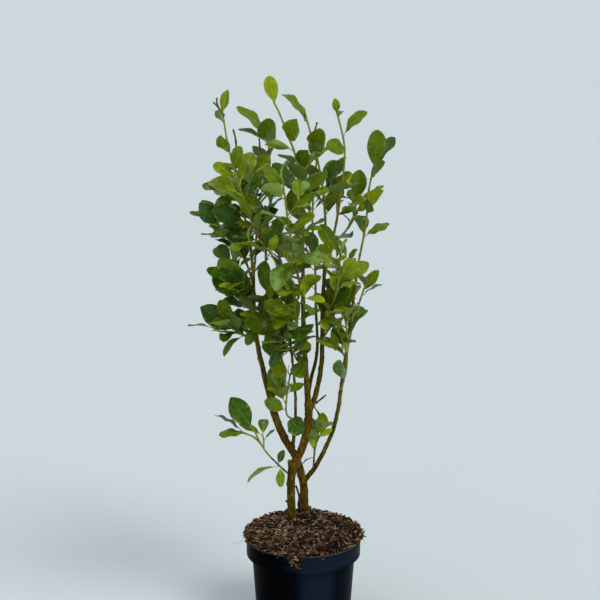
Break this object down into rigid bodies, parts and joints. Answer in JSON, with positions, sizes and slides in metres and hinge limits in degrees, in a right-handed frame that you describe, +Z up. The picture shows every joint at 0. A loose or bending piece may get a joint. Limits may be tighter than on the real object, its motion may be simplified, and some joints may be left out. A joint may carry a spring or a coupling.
{
  "type": "potted broadleaf shrub",
  "caption": "Upright evergreen broadleaf shrub with two stems, forked boughs and airy sprays of oval leaves, growing in a round black nursery pot of potting mix.",
  "frame": {"origin": "middle of the flat underside of the pot", "axes": "+Z up along the plant, +X to the right and -Y towards the viewer of the front"},
  "size_m": [0.292, 0.241, 0.799],
  "materials": {
    "pot_plastic": "black moulded plastic with a low sheen",
    "potting_mix": "loose brown bark and peat chips",
    "bark": "thin brown to olive bark",
    "foliage": "glossy leathery green leaves on yellow-green twigs"
  },
  "bodies": {
    "root": {"back_stem": "bark", "centre_bough": "bark", "far_right_bough": "bark", "foliage_back": "foliage", "foliage_back_left": "foliage", "foliage_back_right": "foliage", "foliage_centre_front": "foliage", "foliage_centre_left": "foliage", "foliage_centre_low": "foliage", "foliage_centre_right": "foliage", "foliage_curved_shoot": "foliage", "foliage_far_right": "foliage", "foliage_front": "foliage", "foliage_front_right": "foliage", "foliage_inner_back": "foliage", "foliage_inner_left": "foliage", "foliage_left": "foliage", "foliage_left_back": "foliage", "foliage_left_crown": "foliage", "foliage_left_low": "foliage", "foliage_left_shoulder": "foliage", "foliage_left_side": "foliage", "foliage_low_left": "foliage", "foliage_low_right": "foliage", "foliage_right_low": "foliage", "foliage_right_shoot": "foliage", "foliage_right_spray": "foliage", "foliage_slender_low": "foliage", "foliage_slender_mid": "foliage", "foliage_top": "foliage", "foliage_top_right": "foliage", "foliage_upper_left": "foliage", "front_stem": "bark", "inner_bough": "bark", "left_bough": "bark", "left_inner_bough": "bark", "pot": "pot_plastic", "potting_mix": "potting_mix", "right_bough": "bark", "right_centre_bough": "bark", "slender_bough": "bark"}
  },
  "joints": []
}
